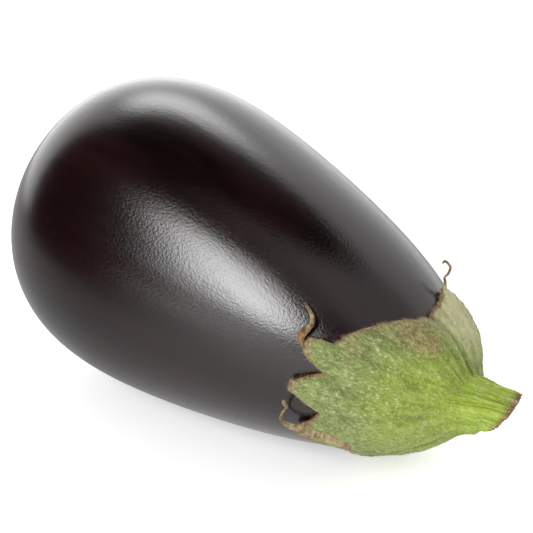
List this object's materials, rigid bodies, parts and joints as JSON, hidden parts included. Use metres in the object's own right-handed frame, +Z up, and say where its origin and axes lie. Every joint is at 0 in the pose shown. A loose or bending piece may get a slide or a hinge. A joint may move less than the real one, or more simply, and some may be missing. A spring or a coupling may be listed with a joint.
{
  "type": "eggplant",
  "caption": "Egg-shaped fruit with glossy dark skin, lying on its side, under a lobed green cap that ends in a short cut stalk.",
  "frame": {"origin": "centre of the small flat spot that the berry lies on", "axes": "+X level, towards the stalk; +Z up; the flat spot faces -Z"},
  "size_m": [0.1695, 0.0944, 0.0949],
  "materials": {
    "berry_skin": "waxy, glossy, almost black with a purple-brown tint",
    "calyx_green": "matt, finely hairy yellow-green, tan at its dried edges"
  },
  "bodies": {
    "root": {"berry": "berry_skin", "calyx_and_stalk": "calyx_green"}
  },
  "joints": []
}
